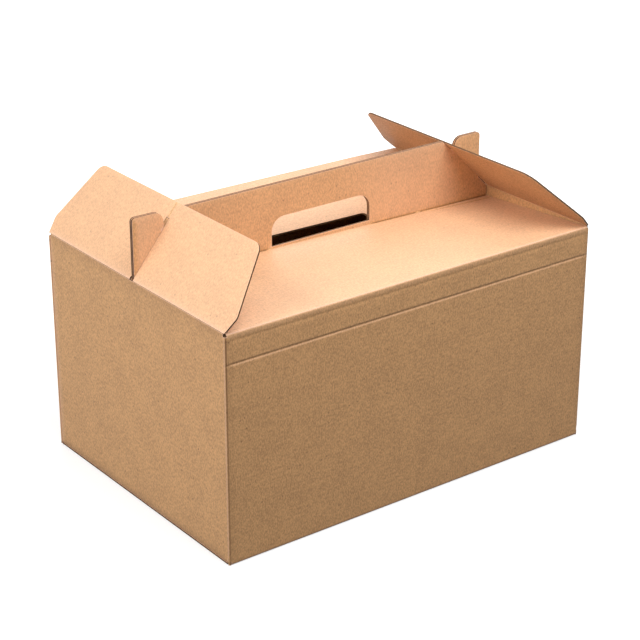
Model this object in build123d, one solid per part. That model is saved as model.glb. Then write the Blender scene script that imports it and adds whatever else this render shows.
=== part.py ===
from build123d import *
import math
import os

# Takeaway food box with a carry handle, folded from one die-cut sheet of thin
# corrugated board. X runs along the long walls, the front wall faces -Y, and
# Z is up from the middle of the underside. Millimetres and degrees.

# Board and body
length = 350.0
width = 244.0
height = 185.0
board = 1.6
seam = 0.8
lap_width = 34.0
lap_taper = 12.0
lap_clear = 2.0

# Top panels: each slopes down from its wall to the handle's crease
sag_left = 1.8
sag_right = 8.9
panel_gap = 0.5
board_gap = 0.3

# Handle boards, with an ear at each end
handle_rise = 49.2
ear_width = 27.2
ear_drop = 0.4
ear_outer_radius = 3.0
ear_inner_radius = 8.0
ear_hook = 1.5
ear_hook_height = 2.6
left_ear_inset = 0.0
right_ear_inset = 7.6
handle_corner_radius = 1.0

# Hand hole, and the cut that it carries on into the back top panel
hole_width = 96.0
hole_rise = 20.6
hole_sill = 2.7
hole_radius = 11.5
finger_cut_width = 119.0
finger_cut_depth = 20.5
finger_cut_radius = 3.0

# End flaps
end_wall_rise = 0.5
flap_length = 67.5
flap_root_width = 243.0
flap_shoulder_width = 249.4
flap_shoulder_height = 14.0
flap_tip_width = 213.0
flap_corner_radius = 9.0
flap_shoulder_radius = 6.0
left_flap_slope = 50.5
right_flap_slope = 44.1
hinge_offset = 0.2
slot_clear = 0.3
slot_start = 1.6
slot_eye_radius = 2.4
ear_pass_gap = 0.5
flap_rest_gap = 0.3
flush_depth = 0.3

# Score lines pressed into the long walls: drop below the top, depth, width
score_lines = [(24.0, 0.4, 2.4), (5.7, 0.15, 2.6)]

# Worked out from the sizes above
half_length = length / 2
half_width = width / 2
panel_half = half_length - board - panel_gap
boards_out = board_gap / 2 + board
handle_top = height + handle_rise
ear_top = handle_top - ear_drop
crease_left = height - sag_left
crease_right = height - sag_right
end_wall_top = height + end_wall_rise
hinge_x = half_length + hinge_offset
hinge_z = end_wall_top + hinge_offset
slot_width = 2 * boards_out + 2 * slot_clear


def crease_z(x):
    """Height of the crease between a top panel and its handle board at x."""
    share = (x + panel_half) / (2 * panel_half)
    return crease_left + (crease_right - crease_left) * share


def end_plane(x):
    """Plane across the box at x, with Y and Z as its own axes."""
    return Plane(origin=(x, 0, 0), x_dir=(0, 1, 0), z_dir=(1, 0, 0))


def front_plane(y):
    """Upright plane at y that faces the front, with X and Z as its own axes."""
    return Plane(origin=(0, y, 0), x_dir=(1, 0, 0), z_dir=(0, -1, 0))


def closed_face(points, radii):
    """Flat face inside a closed outline, with a radius for each corner."""
    return make_face(FilletPolyline(*points, radius=radii, close=True))


def slab(plane, face, thickness):
    """Plate with the face's outline, standing on a plane."""
    return extrude(plane * face, thickness, dir=plane.z_dir)


def between(low, high):
    """Block from one corner to the other."""
    size = [b - a for a, b in zip(low, high)]
    middle = [(a + b) / 2 for a, b in zip(low, high)]
    return Pos(*middle) * Box(*size)


def walls():
    """Four walls with folded corners, closed below by two layers of flaps."""
    wall_top = height - board
    outside = extrude(RectangleRounded(length, width, board), wall_top)
    inside_x = half_length - board
    inside_y = half_width - board
    hollow = between((-inside_x, -inside_y, 2 * board), (inside_x, inside_y, height))
    shell = outside - hollow
    for side in (-1, 1):
        middle = Pos(side * (half_length - board / 2), 0, (wall_top + end_wall_top) / 2)
        shell += middle * Box(board, 2 * inside_y, end_wall_top - wall_top)
    return shell


def bottom_seams():
    """Slits where the bottom flaps meet: one along the outer layer, one across the inner."""
    outer = between((-half_length, -seam / 2, 0), (half_length, seam / 2, board))
    inside_y = half_width - board
    inner = between((-seam / 2, -inside_y, board), (seam / 2, inside_y, 2 * board))
    return outer + inner


def glue_lap():
    """Lap inside the back wall that closes the sheet into a tube."""
    left = -half_length + board
    low = 2 * board + lap_clear
    high = height - 2 * board - lap_clear
    outline = [
        (left, low),
        (left + lap_width, low + lap_taper),
        (left + lap_width, high - lap_taper),
        (left, high),
    ]
    return slab(front_plane(half_width - board), closed_face(outline, [0, 0, 0, 0]), board)


def score_grooves():
    """Shallow round-bottomed lines along the front and back walls."""
    grooves = []
    for drop, depth, mouth in score_lines:
        radius = (mouth**2 / 4 + depth**2) / (2 * depth)
        for side in (-1, 1):
            place = Pos(0, side * (half_width + radius - depth), height - drop)
            grooves.append(place * Cylinder(radius, length, rotation=(0, 90, 0)))
    return Part() + grooves


def panel_section(x):
    """Section of the front top panel, rounded where it turns up into the handle."""
    crease = crease_z(x)
    wall_y = board - half_width
    corner = board * math.sin(math.radians(45))
    with BuildLine(end_plane(x)) as outline:
        Line((wall_y, height), (-boards_out, crease))
        Line((-boards_out, crease), (-board_gap / 2, crease))
        ThreePointArc(
            (-board_gap / 2, crease),
            (-boards_out + corner, crease - corner),
            (-boards_out, crease - board),
        )
        Line((-boards_out, crease - board), (wall_y, height - board))
        Line((wall_y, height - board), (wall_y, height))
    return make_face(outline.line)


def wall_fold():
    """Quarter round where the front wall turns into its top panel."""
    wall_y = board - half_width
    corner = board * math.sin(math.radians(45))
    with BuildLine(end_plane(-panel_half)) as outline:
        Line((wall_y, height - board), (wall_y - board, height - board))
        ThreePointArc(
            (wall_y - board, height - board),
            (wall_y - corner, height - board + corner),
            (wall_y, height),
        )
        Line((wall_y, height), (wall_y, height - board))
    return extrude(make_face(outline.line), 2 * panel_half, dir=(1, 0, 0))


def flap_point(side, slope, along, depth):
    """X and Z of a point on an end flap at rest: along it from the hinge, and
    below the line through the hinge."""
    angle = math.radians(slope)
    x = hinge_x - along * math.cos(angle) - depth * math.sin(angle)
    z = hinge_z + along * math.sin(angle) - depth * math.cos(angle)
    return side * x, z


def flap_line_z(slope, x, depth):
    """Height at x of a line that runs along a resting end flap."""
    angle = math.radians(slope)
    start_x, start_z = flap_point(1, slope, 0, depth)
    return start_z + (start_x - abs(x)) * math.tan(angle)


def flap_line_x(side, slope, z, depth):
    """X where a line along a resting end flap reaches the height z."""
    angle = math.radians(slope)
    start_x, start_z = flap_point(1, slope, 0, depth)
    return side * (start_x - (z - start_z) / math.tan(angle))


def ear_shape(slope, inset):
    """Outer and inner sides of an ear, the foot of its hooked inner side on the
    flap's face, and the radius of its inner top corner."""
    outer = panel_half - inset
    inner = outer - ear_width
    foot = inner + ear_hook
    foot_z = flap_line_z(slope, foot, hinge_offset + flush_depth)
    room = ear_top - foot_z - ear_hook_height
    return outer, inner, foot, foot_z, min(ear_inner_radius, 0.9 * room)


def ear_reach(slope, inset):
    """Distance from the hinge to the farthest point of an ear."""
    _, inner, _, _, radius = ear_shape(slope, inset)
    centre_x = inner + radius
    centre_z = ear_top - radius
    return math.hypot(hinge_x - centre_x, centre_z - hinge_z) + radius


def handle_end(side, slope, inset):
    """Corners of one end of a handle board, from its base over the ear and
    through the notch for the flap's bridge to the handle's top edge."""
    outer, inner, foot, foot_z, radius = ear_shape(slope, inset)
    top_face = hinge_offset + flush_depth
    underside = hinge_offset + board + flap_rest_gap
    notch = ear_reach(slope, inset)
    corners = [((side * panel_half, crease_z(side * panel_half)), 0)]
    if inset > 0:
        corners.append(((side * panel_half, flap_line_z(slope, panel_half, underside)), 0))
        corners.append(((side * outer, flap_line_z(slope, outer, underside)), 0))
    corners.append(((side * outer, ear_top), ear_outer_radius))
    corners.append(((side * inner, ear_top), radius))
    corners.append(((side * inner, foot_z + ear_hook_height), 0))
    corners.append(((side * foot, foot_z), 0))
    corners.append((flap_point(side, slope, notch, top_face), 0))
    corners.append((flap_point(side, slope, notch, underside), 0))
    top_x = flap_line_x(side, slope, handle_top, underside)
    corners.append(((top_x, handle_top), handle_corner_radius))
    return corners


def handle_outline():
    """Outline of a handle board, with both ears."""
    left = handle_end(-1, left_flap_slope, left_ear_inset)
    right = handle_end(1, right_flap_slope, right_ear_inset)
    corners = left + right[::-1]
    return closed_face([point for point, _ in corners], [radius for _, radius in corners])


def hand_hole(bottom_z, depth):
    """Cutter for the hand hole, with two rounded top corners, from bottom_z up."""
    half = hole_width / 2
    top = height + hole_rise
    outline = [(-half, bottom_z), (-half, top), (half, top), (half, bottom_z)]
    return slab(front_plane(0), closed_face(outline, [0, hole_radius, hole_radius, 0]), depth)


def finger_cut():
    """Cutter for the part of the hand hole that runs on into the back top panel."""
    half = finger_cut_width / 2
    low = height - max(sag_left, sag_right) - 2 * board
    outline = [
        (-half, -boards_out),
        (-half, -finger_cut_depth),
        (half, -finger_cut_depth),
        (half, -boards_out),
    ]
    cut = closed_face(outline, [0, finger_cut_radius, finger_cut_radius, 0])
    return slab(Plane.XY.offset(low), cut, height - low)


def top_half():
    """Front top panel with its handle board, before the hand hole is cut."""
    panel = loft([panel_section(-panel_half), panel_section(panel_half)], ruled=True)
    handle = slab(front_plane(-board_gap / 2), handle_outline(), board)
    return panel + handle + wall_fold()


def front_half():
    """Front top panel and handle board, with a low sill left under the hole."""
    return top_half() - hand_hole(crease_z(0) + hole_sill, 2 * boards_out)


def back_half():
    """Back top panel and handle board: the hole runs on across the crease."""
    below_crease = crease_z(0) - max(sag_left, sag_right)
    half = top_half() - hand_hole(below_crease, boards_out) - finger_cut()
    return mirror(half, about=Plane.XZ)


def carton():
    """Walls, bottom, lap, top panels and handle boards: one folded sheet."""
    body = walls() + glue_lap() + front_half() + back_half()
    return body - bottom_seams() - score_grooves()


def end_flap(side, slope, inset):
    """End flap with the slot that lets the handle's ear through."""
    slot_end = ear_reach(slope, inset) + ear_pass_gap
    root = hinge_offset
    outline = [
        (-flap_root_width / 2, root),
        (-flap_shoulder_width / 2, flap_shoulder_height),
        (-flap_tip_width / 2, flap_length),
        (flap_tip_width / 2, flap_length),
        (flap_shoulder_width / 2, flap_shoulder_height),
        (flap_root_width / 2, root),
    ]
    corner = flap_corner_radius
    shoulder = flap_shoulder_radius
    sheet = closed_face(outline, [0, shoulder, corner, corner, shoulder, 0])
    slot_middle = (slot_start + slot_end) / 2
    sheet -= Pos(0, slot_middle) * Rectangle(slot_width, slot_end - slot_start)
    sheet -= Pos(0, slot_start) * Circle(slot_eye_radius)
    upright = slab(end_plane(hinge_offset), sheet, board)
    bevel_outline = [
        (hinge_offset, root),
        (hinge_offset + board, root),
        (hinge_offset + board, root + board),
    ]
    bevel = closed_face(bevel_outline, [0, 0, 0])
    upright -= slab(front_plane(half_width), bevel, width)
    leaning = Rot(0, 90 - slope, 0) * upright
    placed = Pos(-hinge_x, 0, hinge_z) * leaning
    return placed if side < 0 else mirror(placed, about=Plane.YZ)


nodes = {
    "carton": carton(),
    "left_end_flap": end_flap(-1, left_flap_slope, left_ear_inset),
    "right_end_flap": end_flap(1, right_flap_slope, right_ear_inset),
}

os.makedirs("parts", exist_ok=True)
for name, shape in nodes.items():
    export_step(shape, f"parts/{name}.step")
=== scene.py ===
"""Takeaway food box with a carry handle, folded from one sheet of kraft corrugated board.

The carton is worked out as the real one is made: a flat sheet is cut out, then folded by
a formula into walls, bottom, top panels and handle boards. The two end flaps are sheets
of the same board on their own hinges. Sizes are in metres, in the frame of the model.
"""

import math

import bpy
import numpy as np
from bpy.props import FloatProperty, FloatVectorProperty, PointerProperty
from bpy.types import Operator, Panel, PropertyGroup
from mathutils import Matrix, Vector
from mathutils.geometry import delaunay_2d_cdt


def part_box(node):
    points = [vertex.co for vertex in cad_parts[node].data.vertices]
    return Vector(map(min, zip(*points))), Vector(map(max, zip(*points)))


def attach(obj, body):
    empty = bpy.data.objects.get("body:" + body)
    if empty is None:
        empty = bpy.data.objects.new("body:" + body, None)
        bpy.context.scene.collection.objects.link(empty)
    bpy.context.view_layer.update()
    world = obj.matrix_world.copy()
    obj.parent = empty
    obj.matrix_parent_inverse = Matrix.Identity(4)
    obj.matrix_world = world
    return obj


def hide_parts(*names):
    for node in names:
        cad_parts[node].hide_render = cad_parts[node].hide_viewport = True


bl_info = {
    "name": "Takeaway food box",
    "version": (1, 0, 0),
    "blender": (4, 5, 0),
    "location": "3D View > Sidebar > Food Box",
    "description": "Folds a kraft carry box with end flaps from flat sheets of board",
    "category": "Add Mesh",
}

MM = 0.001

# Width of the crushed rim along each cut, and how far the board sinks there
RIM = 0.9 * MM
CRUSH = 0.12 * MM
# Faces of the board, in the order in which a mesh has them
OUTSIDE, INSIDE = 0, 1
# Play between two layers of board
LAYER_GAP = 0.05 * MM
# Rounding of the crease between a top panel and its handle board
CREASE_FOLD = 0.3 * MM
# How far the back wall's free edge stops short of its corner, and its square foot's width
FREE_EDGE = 0.4 * MM
FREE_FOOT = 1.6 * MM
# Score lines on the long walls: distance below the top edge, depth and width
SCORES = ((24.0 * MM, 0.40 * MM, 2.4 * MM), (5.7 * MM, 0.15 * MM, 2.6 * MM))
# Greatest inward bow of a wall and of a top panel
WALL_BOW = 0.45 * MM
LID_BOW = 0.35 * MM

# Painted light on the top panels and on the handle, which are painted paler than the walls as
# light falls on them, and the painted light added at the handle's right part and left ear
LID_LIGHT = 0.29
HANDLE_LIGHT = 0.14
EXTRA_HANDLE_LIGHT = 0.16
# Painted shading of each end flap's outer and inner face: painted light on the left flap's outer
# face, which faces up into the light, and painted shade on the right flap's inner face, which
# faces down into shade
FLAP_TONES = {"left": (0.28, 0.0), "right": (0.0, -0.20)}
# Bell curves of tone across a line, mostly painted highlights and painted shade at folds, creases,
# scores, ears and the floor: strength, which is dark below 0, offset and width
BACK_LEFT_FOLD = (0.60, 0.3 * MM, 1.6 * MM)
FRONT_LEFT_FOLD = (0.60, -0.6 * MM, 0.7 * MM)
FRONT_LEFT_SHADE = (-1.10, 0.9 * MM, 0.8 * MM)
FRONT_RIGHT_FOLD = (-0.35, -1.2 * MM, 0.9 * MM)
GLUED_EDGE = (0.75, 0.0, 1.5 * MM)
CREASE = (-0.95, 0.0, 0.9 * MM)
EAR_SIDE = (-0.90, 0.0, 0.8 * MM)
MARK_DARK = (-0.75, 0.0, 0.7 * MM)
MARK_PALE = (0.30, 0.0, 1.2 * MM)
FLOOR_LINE = (-0.60, 0.6 * MM, 1.3 * MM)
FLAP_HINGE = (0.30, 0.0, 2.0 * MM)
SLOT_LINE = (-0.45, 0.0, 0.6 * MM)
# The same down from a long wall's top edge: a painted highlight on the edge, a painted pale band
# of light under it, painted shade in the upper score, and painted shade and a painted highlight on
# the two sides of the lower score
TOP_LINES = (
    (0.50, -0.2 * MM, 0.9 * MM),
    (0.16, 2.8 * MM, 1.6 * MM),
    (-0.20, 5.7 * MM, 0.9 * MM),
    (-0.50, 23.5 * MM, 0.6 * MM),
    (0.28, 24.8 * MM, 0.5 * MM),
)
# Shade under the top edge of an end wall, and how far down it fades
END_SHADE = 0.22
END_SHADE_REACH = 6 * MM

# Grain sizes of the liner: fibres, mottle, clouds, and the spacing of its specks
FIBRE_GRAIN = 1.2 * MM
MOTTLE_GRAIN = 4.5 * MM
CLOUD_GRAIN = 26 * MM
SPECK_SPACING = 9 * MM
# Relief of the fibres and of the flutes' lines, in millimetres
FIBRE_RELIEF = 0.04
FLUTE_RELIEF = 0.012
# Depths in the cut edge: its middle, and from there the wave's swing, the two sides of
# the wavy paper's own edge, and where the liners start
HALF_BOARD = 0.8 * MM
WAVE_SWING = 0.5 * MM
WAVE_EDGES = (0.16 * MM, 0.3 * MM)
LINER_EDGES = (0.60 * MM, 0.68 * MM)

# Half the floor's width, its share of white paper's reflected light, and its own glow:
# the distances from the box's middle over which it rises, and its strength at both
FLOOR_HALF = 8.0
FLOOR_LIT = 0.6
GLOW_REACH = (0.3, 0.7)
GLOW_STRENGTH = (0.45, 0.8)
# Size, place and aim of each lamp
LAMPS = {
    "key": (0.75, (-1.05, 0.06, 0.88), (0, 0, 0.12)),
    "softbox": (0.7, (0.03, -0.40, 0.95), (0, -0.03, 0.19)),
    "back": (1.3, (0.8, 1.0, 0.9), (0, 0, 0.19)),
}
CAMERA_PLACE = (-0.8496, -1.1270, 0.7311)

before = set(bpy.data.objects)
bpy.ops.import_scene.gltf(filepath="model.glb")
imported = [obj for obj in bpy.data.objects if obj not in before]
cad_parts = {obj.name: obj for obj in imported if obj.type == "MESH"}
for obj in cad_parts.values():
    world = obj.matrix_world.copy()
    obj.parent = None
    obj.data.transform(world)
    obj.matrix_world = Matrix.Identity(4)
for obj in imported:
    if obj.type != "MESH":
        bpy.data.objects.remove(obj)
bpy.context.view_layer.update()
carton_low, carton_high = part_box("carton")


def length_of(name, description, millimetres):
    """A length that the user can change, given in millimetres."""
    return FloatProperty(
        name=name,
        description=description,
        default=millimetres * MM,
        unit="LENGTH",
        subtype="DISTANCE",
        precision=5,
    )


def angle_of(name, description, degrees):
    """An angle that the user can change, given in degrees."""
    return FloatProperty(
        name=name,
        description=description,
        default=math.radians(degrees),
        unit="ROTATION",
        subtype="ANGLE",
    )


def power_of(name, description, watts):
    """A lamp's power that the user can change, in watts."""
    return FloatProperty(name=name, description=description, default=watts, unit="POWER")


def channel_to_linear(value):
    """Linear light of one sRGB channel: a straight foot, then a power of 2.4."""
    return value / 12.92 if value <= 0.04045 else ((value + 0.055) / 1.055) ** 2.4


def linear(hex_colour):
    """Linear colour of an sRGB hex value."""
    parts = [int(hex_colour[i : i + 2], 16) / 255 for i in (1, 3, 5)]
    return tuple(channel_to_linear(part) for part in parts)


def colour_of(name, description, hex_colour):
    """A colour that the user can change, given as an sRGB hex value."""
    return FloatVectorProperty(
        name=name,
        description=description,
        default=linear(hex_colour),
        size=3,
        min=0.0,
        max=1.0,
        subtype="COLOR",
    )


class BoxSizes(PropertyGroup):
    """Sizes of the walls, the bottom and the top panels."""

    length: length_of("Length", "Outside, along the handle", (carton_high.x - carton_low.x) / MM)
    width: length_of("Width", "Outside, across the handle", (carton_high.y - carton_low.y) / MM)
    height: length_of("Height", "Floor to the front top edge", 185.0)
    board: length_of("Board", "Thickness of the corrugated board", 1.6)
    fold: length_of("Fold", "Rounding outside a folded corner", 2.0)
    bottom_fold: length_of("Bottom fold", "Rounding outside a bottom edge", 1.7)
    left_sag: length_of("Left sag", "Drop of the handle's crease at the left end", 1.8)
    right_sag: length_of("Right sag", "Drop of the handle's crease at the right end", 8.9)
    panel_gap: length_of("Panel gap", "Play between a top panel and an end wall", 0.5)
    end_rise: length_of("End rise", "End walls above the front top edge", 0.5)
    back_arch: length_of("Back arch", "Rise of the back top edge towards its left end", 3.2)
    seam: length_of("Seam", "Slit where two bottom flaps meet", 0.8)
    lap: length_of("Glue lap", "Width of the lap inside the back wall", 34.0)
    lap_taper: length_of("Lap taper", "Slope of the lap's two ends", 12.0)


class HandleSizes(PropertyGroup):
    """Sizes of the two handle boards, their ears and the hand hole."""

    rise: length_of("Rise", "Handle above the front top edge", 49.2)
    gap: length_of("Gap", "Play between the two handle boards", 0.3)
    ear_width: length_of("Ear width", "Width of an ear along the handle", 27.2)
    ear_drop: length_of("Ear drop", "Ears below the handle's top edge", 0.4)
    ear_outer_radius: length_of("Ear outer radius", "Rounding towards the end wall", 3.0)
    ear_inner_radius: length_of("Ear inner radius", "Rounding towards the handle", 8.0)
    ear_hook: length_of("Ear hook", "Step at the foot of the ear's inner side", 1.5)
    ear_hook_height: length_of("Hook height", "Height of that step", 2.6)
    right_inset: length_of("Right ear inset", "Right ear away from its end wall", 9.6)
    top_radius: length_of("Top radius", "Rounding of the handle's top corners", 1.0)
    top_drop: length_of("Top drop", "Handle's top edge below its full height", 1.2)
    hole_width: length_of("Hole width", "Hand hole along the handle", 96.0)
    hole_rise: length_of("Hole rise", "Top of the hole above the front top edge", 20.6)
    hole_sill: length_of("Hole sill", "Board left under the front hole", 2.7)
    hole_radius: length_of("Hole radius", "Rounding of the hole's top corners", 11.5)
    cut_width: length_of("Finger cut width", "Hole in the back top panel", 119.0)
    cut_depth: length_of("Finger cut depth", "Reach of that hole behind the handle", 20.5)
    cut_radius: length_of("Finger cut radius", "Rounding of its far corners", 3.0)


class FlapSizes(PropertyGroup):
    """Sizes and slopes of the two end flaps."""

    length: length_of("Length", "Hinge to free edge", 67.5)
    root_width: length_of("Root width", "Width at the hinge", 242.2)
    shoulder_width: length_of("Shoulder width", "Greatest width", 249.3)
    shoulder_height: length_of("Shoulder height", "Hinge to the greatest width", 14.0)
    tip_width: length_of("Tip width", "Width that the free edge aims at", 213.0)
    corner_radius: length_of("Corner radius", "Rounding of the free corners", 9.0)
    right_tip_width: length_of("Right tip width", "The same on the worn right flap", 204.0)
    right_corner_radius: length_of("Right corner radius", "Rounding of its free corners", 14.0)
    shoulder_radius: length_of("Shoulder radius", "Rounding of the shoulders", 6.0)
    left_slope: angle_of("Left slope", "Left flap above the level, at rest", 50.5)
    right_slope: angle_of("Right slope", "Right flap above the level, at rest", 44.1)
    hinge_offset: length_of("Hinge offset", "Hinge line outside the end wall", 0.2)
    slot_clear: length_of("Slot play", "Play beside the ears in the slot", 0.3)
    slot_start: length_of("Slot start", "Hinge to the middle of the slot's eye", 1.6)
    eye_radius: length_of("Eye radius", "Rounding at the foot of the slot", 2.4)
    pass_gap: length_of("Pass gap", "Play between an ear and the slot's end", 0.5)
    rest_gap: length_of("Rest gap", "Play between the flap and the handle", 0.3)
    flush_depth: length_of("Flush depth", "Notch below the flap's outer face", 0.3)


class BoardFinish(PropertyGroup):
    """Colours and pattern sizes of the kraft board."""

    liner: colour_of("Liner", "Light fibres of the kraft paper", "#DFAB75")
    fibre: colour_of("Fibre", "Dark fibres of the kraft paper", "#BC8E60")
    # Also the colour of painted shade in folds, creases, scores, beside the ears and along the
    # floor
    fleck_and_shade: colour_of("Fleck", "Bark specks and broken folds", "#6E4A2C")
    # Also the colour of painted light on the lid, the handle and the left flap, and of painted
    # highlights at folds and cut rims
    worn: colour_of("Worn", "Paper rubbed pale along cuts and folds", "#F4C9B0")
    medium: colour_of("Fluting", "Wavy paper inside the board", "#7A5230")
    hollow: colour_of("Hollow", "Shadow inside the flutes", "#24150A")
    pitch: length_of("Flute pitch", "From one flute to the next", 4.5)


class StudioSettings(PropertyGroup):
    """Floor, lamps and camera."""

    floor: colour_of("Floor", "Floor as the camera sees it", "#FFFFFF")
    bounce: colour_of("Bounce", "Floor as the box sees it", "#404040")
    key_power: power_of("Key power", "Soft lamp beyond the left end", 10.1)
    softbox_power: power_of("Softbox power", "Soft lamp above the front top panel", 7.7)
    back_power: power_of("Back power", "Soft lamp behind the right end", 8.1)
    sky: FloatProperty(name="Sky", description="Even light from all round", default=0.41, min=0)
    camera_yaw: angle_of("Camera yaw", "Camera turned right from the front", 37.005)
    camera_pitch: angle_of("Camera pitch", "Camera tipped down", 23.854)
    camera_lens: FloatProperty(
        name="Lens",
        description="Focal length on a 36 mm wide sensor",
        default=108.0,
        subtype="DISTANCE_CAMERA",
    )


def unit(vectors, axis):
    """Vectors over their own length."""
    return vectors / np.maximum(np.linalg.norm(vectors, axis=axis, keepdims=True), 1e-12)


def rounded_chain(corners, radii, steps=6):
    """Points along a chain of corners, each rounded by the arc that touches both sides.

    An arc starts its radius times the tangent of half the turn before the corner, and
    turns about a centre one radius to the side.
    """
    corners = np.asarray(corners, float)
    radii = np.asarray(radii, float)
    inward = unit(np.diff(corners, axis=0, prepend=corners[:1]), 1)
    outward = unit(np.diff(corners, axis=0, append=corners[-1:]), 1)
    cross = inward[:, 0] * outward[:, 1] - inward[:, 1] * outward[:, 0]
    turn = np.arctan2(cross, (inward * outward).sum(1))
    turn[[0, -1]] = 0.0
    side = np.sign(turn)
    to_left = np.stack([-inward[:, 1], inward[:, 0]], 1)
    start = corners - inward * (radii * np.tan(np.abs(turn) / 2))[:, None]
    centre = start + to_left * (side * radii)[:, None]
    angle = turn[:, None] * np.linspace(0, 1, steps + 1)
    spoke = -to_left * (side * radii)[:, None]
    cos, sin = np.cos(angle), np.sin(angle)
    x = centre[:, :1] + spoke[:, :1] * cos - spoke[:, 1:] * sin
    y = centre[:, 1:] + spoke[:, :1] * sin + spoke[:, 1:] * cos
    points = np.stack([x, y], 2).reshape(-1, 2)
    step = np.linalg.norm(np.diff(points, axis=0, prepend=points[:1] - 1), axis=1)
    return points[step > 0.01 * MM]


def cut_by_lines(loop, columns, rows):
    """A closed outline with extra points where it crosses the lines of a grid.

    A side that runs mostly up is cut by the rows, and one that runs mostly along by the
    columns, so the mesh inside has whole cells up to its edge.
    """
    ends = np.roll(loop, -1, axis=0)
    run = ends - loop
    upright = np.abs(run[:, 1]) > np.abs(run[:, 0])
    places = [np.arange(len(loop), dtype=float)]
    for axis, lines, chosen in ((0, columns, ~upright), (1, rows, upright)):
        side = np.flatnonzero(chosen)
        share = (lines[None] - loop[side, axis, None]) / run[side, axis, None]
        away = np.minimum(share, 1 - share) * np.abs(run[side, axis, None])
        at, _ = np.nonzero(away > 0.1 * MM)
        places.append(side[at] + share[away > 0.1 * MM])
    places = np.sort(np.concatenate(places))
    whole = np.floor(places).astype(int)
    return loop[whole] + run[whole] * (places - whole)[:, None]


def inside_and_gap(points, starts, ends):
    """Whether points lie inside the outlines, and their distance to the nearest side.

    A point is inside where a ray to the right crosses an odd number of sides. The work
    is done in blocks of points to save memory.
    """
    inside = []
    gaps = []
    run = ends - starts
    for block in np.array_split(points, max(1, len(points) // 1000)):
        offset = block[:, None] - starts
        below = (starts[:, 1] > block[:, 1:]) != (ends[:, 1] > block[:, 1:])
        slope = run[:, 0] / np.where(run[:, 1] == 0, 1e-12, run[:, 1])
        left = offset[..., 0] < slope * offset[..., 1]
        inside.append((below & left).sum(1) % 2 == 1)
        share = np.clip((offset * run).sum(2) / (run**2).sum(1), 0, 1)
        gaps.append(np.linalg.norm(offset - share[..., None] * run, axis=2).min(1))
    return np.concatenate(inside), np.concatenate(gaps)


def beside_outline(loop, reach):
    """Points on both sides of a closed outline, moved out by a reach along its mitres."""
    ahead = unit(np.roll(loop, -1, axis=0) - loop, 1)
    middle = unit(ahead + np.roll(ahead, 1, axis=0), 1)
    square = np.stack([-middle[:, 1], middle[:, 0]], 1)
    square = square * reach / np.maximum((middle * ahead).sum(1, keepdims=True), 0.5)
    return np.concatenate([loop + square, loop - square])


def cut_sheet(loops, columns, rows, extra=()):
    """Triangles of a flat sheet: a grid of columns and rows, trimmed to closed outlines.

    The first outline is the sheet's own and the others are its holes. The triangulation
    keeps every side of the outlines. A ring of points runs just inside them, so that the
    crushed rim of each cut has an inner edge, and more points can be given. The rim's
    share of each point is 1 on an outline and falls to 0 at the ring.
    """
    loops = [cut_by_lines(loop, columns, rows) for loop in loops]
    starts = np.concatenate(loops)
    ends = np.concatenate([np.roll(loop, -1, axis=0) for loop in loops])
    grid = np.stack(np.meshgrid(columns, rows), 2).reshape(-1, 2)
    ring = np.concatenate([beside_outline(loop, RIM) for loop in loops])
    _, apart = np.unique(np.round(ring / (0.25 * MM)), axis=0, return_index=True)
    ring = ring[np.sort(apart)]
    points = [starts]
    for group, room in ((ring, 0.8 * RIM), (np.concatenate([grid, *extra]), 1.3 * RIM)):
        inside, gap = inside_and_gap(group, starts, ends)
        points.append(group[inside & (gap > room)])
    points = np.concatenate(points)
    sizes = [len(loop) for loop in loops]
    first = np.repeat(np.cumsum([0] + sizes[:-1]), sizes)
    index = np.arange(len(starts))
    follow = first + (index - first + 1) % np.repeat(sizes, sizes)
    sides = np.stack([index, follow], 1)
    made = delaunay_2d_cdt((points / MM).tolist(), sides.tolist(), [], 0, 1e-6, False)
    points = np.array([tuple(place) for place in made[0]]) * MM
    faces = np.array(made[2])
    inside, _ = inside_and_gap(points[faces].mean(1), starts, ends)
    faces = faces[inside]
    used, faces = np.unique(faces, return_inverse=True)
    points = points[used]
    _, gap = inside_and_gap(points, starts, ends)
    return points, faces.reshape(-1, 3), np.clip(1 - gap / RIM, 0, 1)


def bent_line(at, knots, points, setback):
    """Place and heading on a line of straight runs with rounded corners.

    Knots are the corners' positions along the line, and points their places. Within a
    setback of a corner the line is the arc that touches both runs there: its radius is
    the setback over the tangent of half the turn, and the heading turns evenly.
    """
    lanes = np.arange(at.size)
    run = (at >= knots[1:-1]).sum(0)
    steps = np.diff(points, axis=0)
    heads = unit(steps, 1)
    share = (at - knots[run, lanes]) / (knots[run + 1, lanes] - knots[run, lanes])
    place = points[run, :, lanes].T + steps[run, :, lanes].T * share
    heading = heads[run, :, lanes].T
    for corner in range(1, len(knots) - 1):
        before, after, reach = heads[corner - 1], heads[corner], setback[corner]
        cross = before[0] * after[1] - before[1] * after[0]
        turn = np.arctan2(cross, (before * after).sum(0))
        near = (np.abs(at - knots[corner]) < reach) & (np.abs(turn) > 1e-4)
        half = np.where(near, np.abs(turn) / 2, 1.0)
        radius = np.sign(turn) * reach / np.tan(half)
        angle = turn * (at - knots[corner] + reach) / np.where(near, 2 * reach, 1.0)
        to_left = np.stack([-before[1], before[0]])
        centre = points[corner] - before * reach + to_left * radius
        cos, sin = np.cos(angle), np.sin(angle)
        turned = np.stack([before[0] * cos - before[1] * sin, before[0] * sin + before[1] * cos])
        arc = centre - np.stack([-turned[1], turned[0]]) * radius
        place = np.where(near, arc, place)
        heading = np.where(near, turned, heading)
    return place, heading


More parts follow.
